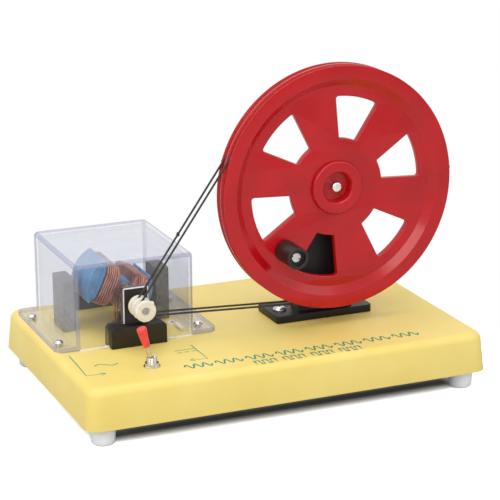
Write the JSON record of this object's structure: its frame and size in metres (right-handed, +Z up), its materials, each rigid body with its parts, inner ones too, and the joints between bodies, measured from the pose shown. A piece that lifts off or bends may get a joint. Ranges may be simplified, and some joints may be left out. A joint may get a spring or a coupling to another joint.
{
  "type": "demonstration dynamo",
  "caption": "Hand-turned demonstration dynamo: a belt wheel on a stand drives a small armature between magnets under a clear cover, on a moulded base with a switch and sockets.",
  "frame": {"origin": "middle of the base's outline, on the surface that the feet stand on", "axes": "+X to the right along the front edge, +Y to the back, +Z up"},
  "size_m": [0.254, 0.165, 0.1954],
  "materials": {
    "yellow_plastic": "fine matt moulding",
    "black_plate": "matt sheet",
    "clear_rubber": "milky, slightly see-through",
    "clear_plastic": "clear moulded box, polished",
    "black_plastic": "satin moulding",
    "bright_screw": "bright plated",
    "zinc_screw": "zinc plated",
    "bronze_bush": "porous bearing metal, oiled",
    "magnet": "dull sintered",
    "brush_strip": "spring strip",
    "white_plastic": "smooth",
    "lead_white": "flexible insulation",
    "lead_red": "flexible insulation",
    "switch_body": "moulded case",
    "nickel": "nickel plated",
    "red_socket": "smooth",
    "black_socket": "smooth",
    "belt_rubber": "smooth round cord",
    "steel": "ground",
    "blue_core": "blue insulating coat on iron",
    "blue_sheet": "pressed insulation",
    "copper_wire": "enamelled copper wire",
    "pale_sleeve": "insulating tube",
    "ring_brass": "turned and polished",
    "segment_copper": "turned copper",
    "pulley_plastic": "off-white moulding",
    "red_plastic": "glossy moulding",
    "polished_steel": "polished",
    "red_cap": "soft sleeve"
  },
  "bodies": {
    "base": {"base_shell": "yellow_plastic", "bottom_plate": "black_plate", "foot_front_left": "clear_rubber", "foot_front_right": "clear_rubber", "foot_rear_left": "clear_rubber", "foot_rear_right": "clear_rubber", "foot_screws": "zinc_screw", "clear_cover": "clear_plastic", "cover_screws": "bright_screw", "front_bearing_block": "black_plastic", "rear_bearing_block": "black_plastic", "bearing_block_screws": "zinc_screw", "front_bush": "bronze_bush", "rear_bush": "bronze_bush", "left_magnet": "magnet", "right_magnet": "magnet", "brush_block": "black_plastic", "slip_ring_brushes": "brush_strip", "commutator_brushes": "brush_strip", "brush_screws": "ring_brass", "lead_grommet": "white_plastic", "lead_sleeve": "white_plastic", "brush_leads": "lead_white", "socket_leads": "lead_red", "toggle_body": "switch_body", "toggle_bushing": "nickel", "toggle_washer": "nickel", "toggle_nut": "nickel", "toggle_pins": "nickel", "output_socket_red": "red_socket", "output_socket_black": "black_socket", "socket_sleeves": "nickel", "socket_nuts": "black_socket", "wheel_stand": "black_plastic", "stand_screws": "bright_screw", "wheel_bush": "bronze_bush", "front_belt": "belt_rubber", "rear_belt": "belt_rubber"},
    "wheel": {"drive_wheel": "red_plastic", "wheel_axle": "polished_steel", "axle_collar": "steel", "handle_screw": "bright_screw"},
    "handle": {"crank_handle": "black_plastic"},
    "armature": {"armature_shaft": "steel", "armature_core": "blue_core", "pole_insulation": "blue_sheet", "coil_core_a": "copper_wire", "coil_core_b": "copper_wire", "coil_turns_a": "copper_wire", "coil_turns_b": "copper_wire", "ring_sleeve": "pale_sleeve", "slip_rings": "ring_brass", "commutator": "segment_copper", "shaft_collar": "steel", "pulley": "pulley_plastic"},
    "lever": {"toggle_lever": "nickel", "lever_cap": "red_cap"}
  },
  "joints": [
    {"name": "wheel_spin", "type": "hinge", "parent": "base", "child": "wheel", "pos_m": [0.0513, -0.0246, 0.1209], "axis": [0, 1, 0], "continuous": true},
    {"name": "armature_spin", "type": "hinge", "parent": "base", "child": "armature", "pos_m": [-0.0732, 0.02925, 0.0606], "axis": [0, 1, 0], "continuous": true},
    {"name": "handle_spin", "type": "hinge", "parent": "wheel", "child": "handle", "pos_m": [0.01719, -0.037, 0.08558], "axis": [0, 1, 0], "continuous": true},
    {"name": "switch_throw", "type": "hinge", "parent": "base", "child": "lever", "pos_m": [-0.0787, -0.0551, 0.0371], "axis": [0, 1, 0], "range_deg": [0, 30]}
  ],
  "couplings": [
    {"joint": "armature_spin", "follows": "wheel_spin", "ratio": 18.179}
  ]
}
